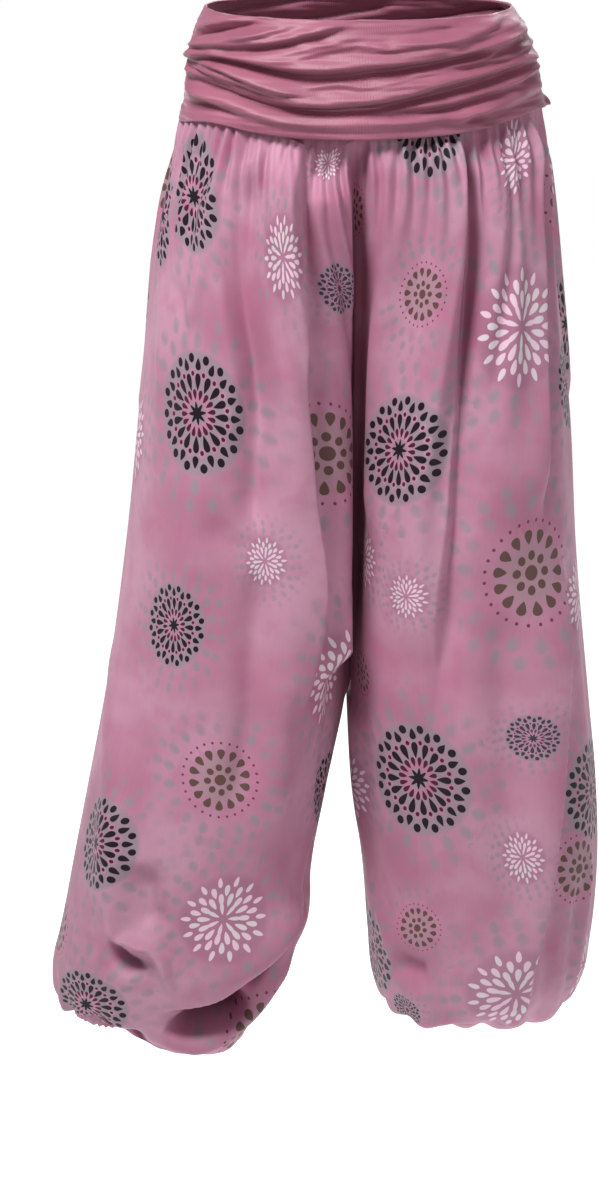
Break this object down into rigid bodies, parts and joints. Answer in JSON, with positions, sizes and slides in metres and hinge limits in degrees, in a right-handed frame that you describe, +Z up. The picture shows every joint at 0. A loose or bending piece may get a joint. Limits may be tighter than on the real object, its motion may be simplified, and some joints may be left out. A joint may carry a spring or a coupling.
{
  "type": "harem pants",
  "caption": "Full-length balloon harem pants of thin printed cloth, gathered into a wide ruched jersey yoke at the waist and into elasticated ankles.",
  "frame": {"origin": "centre of the waist opening, at the level of the yoke's top edge", "axes": "+Z up, the wearer faces -Y, so the wearer's right leg is at -X and the left leg at +X"},
  "size_m": [0.5257, 0.3197, 0.9863],
  "materials": {
    "printed_viscose": "dusty pink woven viscose with printed flower medallions",
    "jersey": "matte dusty rose jersey, ruched",
    "band_jersey": "plain plum jersey"
  },
  "bodies": {
    "root": {"yoke_front": "jersey", "yoke_back": "jersey", "under_band": "band_jersey", "right_front": "printed_viscose", "right_back": "printed_viscose", "left_front": "printed_viscose", "left_back": "printed_viscose", "right_casing": "printed_viscose", "left_casing": "printed_viscose"}
  },
  "joints": []
}
